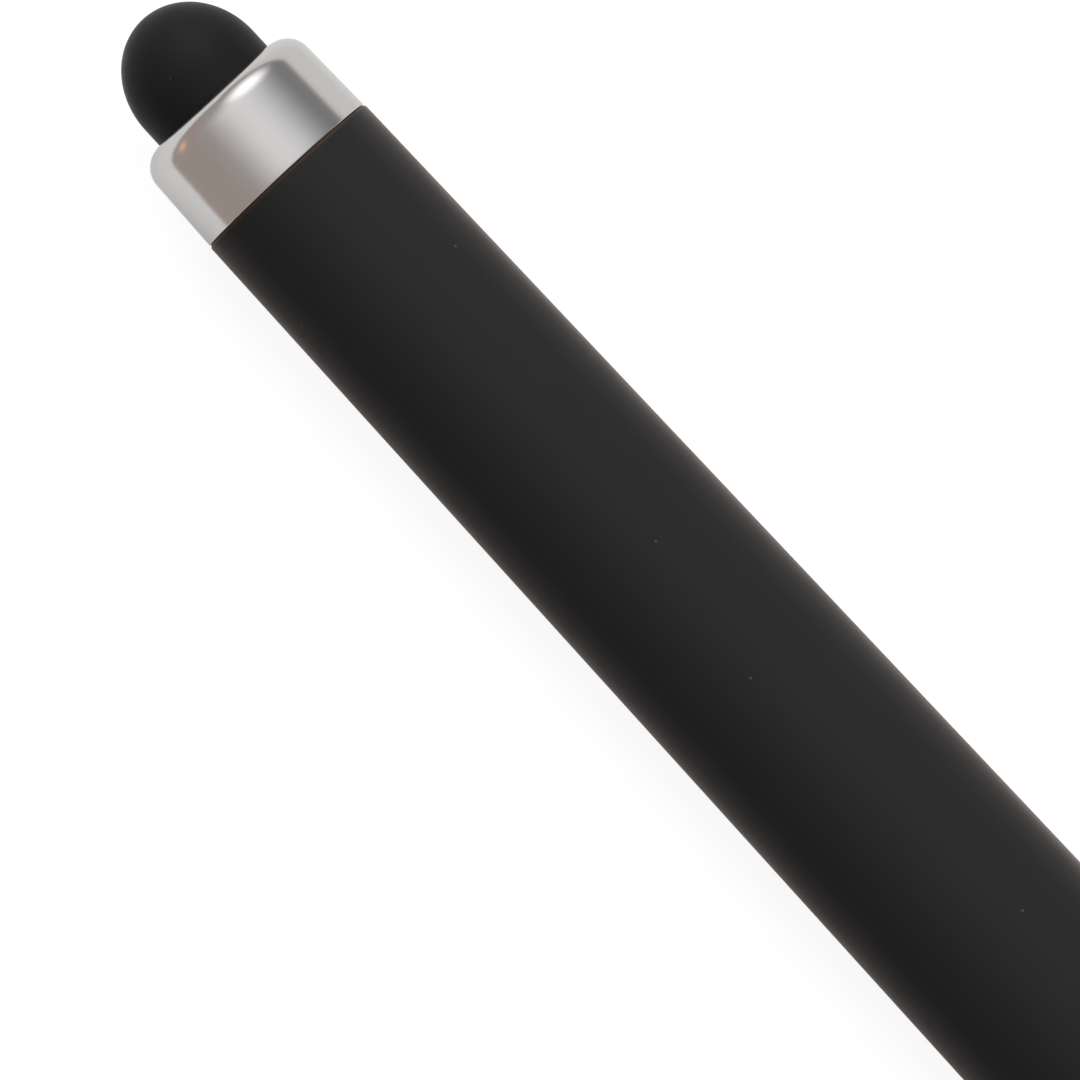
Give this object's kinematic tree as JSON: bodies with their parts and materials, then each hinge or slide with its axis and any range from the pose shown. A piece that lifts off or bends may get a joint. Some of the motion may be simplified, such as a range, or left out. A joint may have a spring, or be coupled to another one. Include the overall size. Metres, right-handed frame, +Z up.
{
  "type": "stylus ballpoint pen",
  "caption": "Twist-action ballpoint pen with a rubber touchscreen dome in a satin ferrule on its top end, a tapered soft-touch barrel and a side clip.",
  "frame": {"origin": "on the pen's axis, at the top end of the lower barrel", "axes": "+X along the pen towards the writing point; +Z up as the pen lies on a table, on its barrels and one edge of its clip; +Y towards the side with the clip"},
  "size_m": [0.1419, 0.013, 0.0108],
  "materials": {
    "rubber_black": "matte conductive rubber",
    "satin_chrome": "satin",
    "soft_touch_black": "matte soft-touch lacquer on aluminium",
    "spring_steel": "satin",
    "brass": "machined",
    "cam_plastic": "moulded",
    "nitrile": "matte",
    "refill_steel": "drawn",
    "refill_plastic": "moulded",
    "ink": "liquid",
    "carbide": "polished"
  },
  "bodies": {
    "lower": {"lower_barrel": "soft_touch_black", "lower_bush": "brass", "centre_ring": "satin_chrome", "nose_cone": "satin_chrome", "guide_sleeve": "brass", "snap_ring": "spring_steel", "return_spring": "spring_steel"},
    "upper": {"upper_barrel": "soft_touch_black", "ferrule": "satin_chrome", "tip_plug": "brass", "cam_tube": "cam_plastic", "upper_bush": "brass", "friction_ring": "nitrile"},
    "tip": {"stylus_tip": "rubber_black"},
    "clip": {"clip": "satin_chrome"},
    "refill": {"refill_tube": "refill_steel", "refill_cap": "refill_plastic", "refill_point": "refill_steel", "ink_fill": "ink", "pusher": "cam_plastic", "cross_pin": "spring_steel"},
    "ball": {"writing_ball": "carbide"}
  },
  "joints": [
    {"name": "twist", "type": "hinge", "parent": "lower", "child": "upper", "pos_m": [0, 0, 0], "axis": [1, 0, 0], "range_deg": [0, 180]},
    {"name": "refill_slide", "type": "slide", "parent": "lower", "child": "refill", "axis": [1, 0, 0], "range_m": [0, 0.005], "deforming": ["return_spring"]},
    {"name": "clip_flex", "type": "hinge", "parent": "upper", "child": "clip", "pos_m": [-0.0648, 0.00395, -0.0021], "axis": [0, 0.4703, 0.8825], "range_deg": [0, 5], "stiffness_Nm_per_rad": 1.2, "springref_deg": -1.72},
    {"name": "tip_press", "type": "slide", "parent": "upper", "child": "tip", "axis": [1, 0, 0], "range_m": [0, 0.0008], "stiffness_N_per_m": 1500, "springref_m": -0.0001, "deforming": ["stylus_tip"]},
    {"name": "ball_roll", "type": "hinge", "parent": "refill", "child": "ball", "pos_m": [0.0613, 0, 0], "axis": [0, 1, 0], "continuous": true}
  ],
  "couplings": [
    {"joint": "twist", "follows": "refill_slide", "rad_per_m": 628.3}
  ]
}
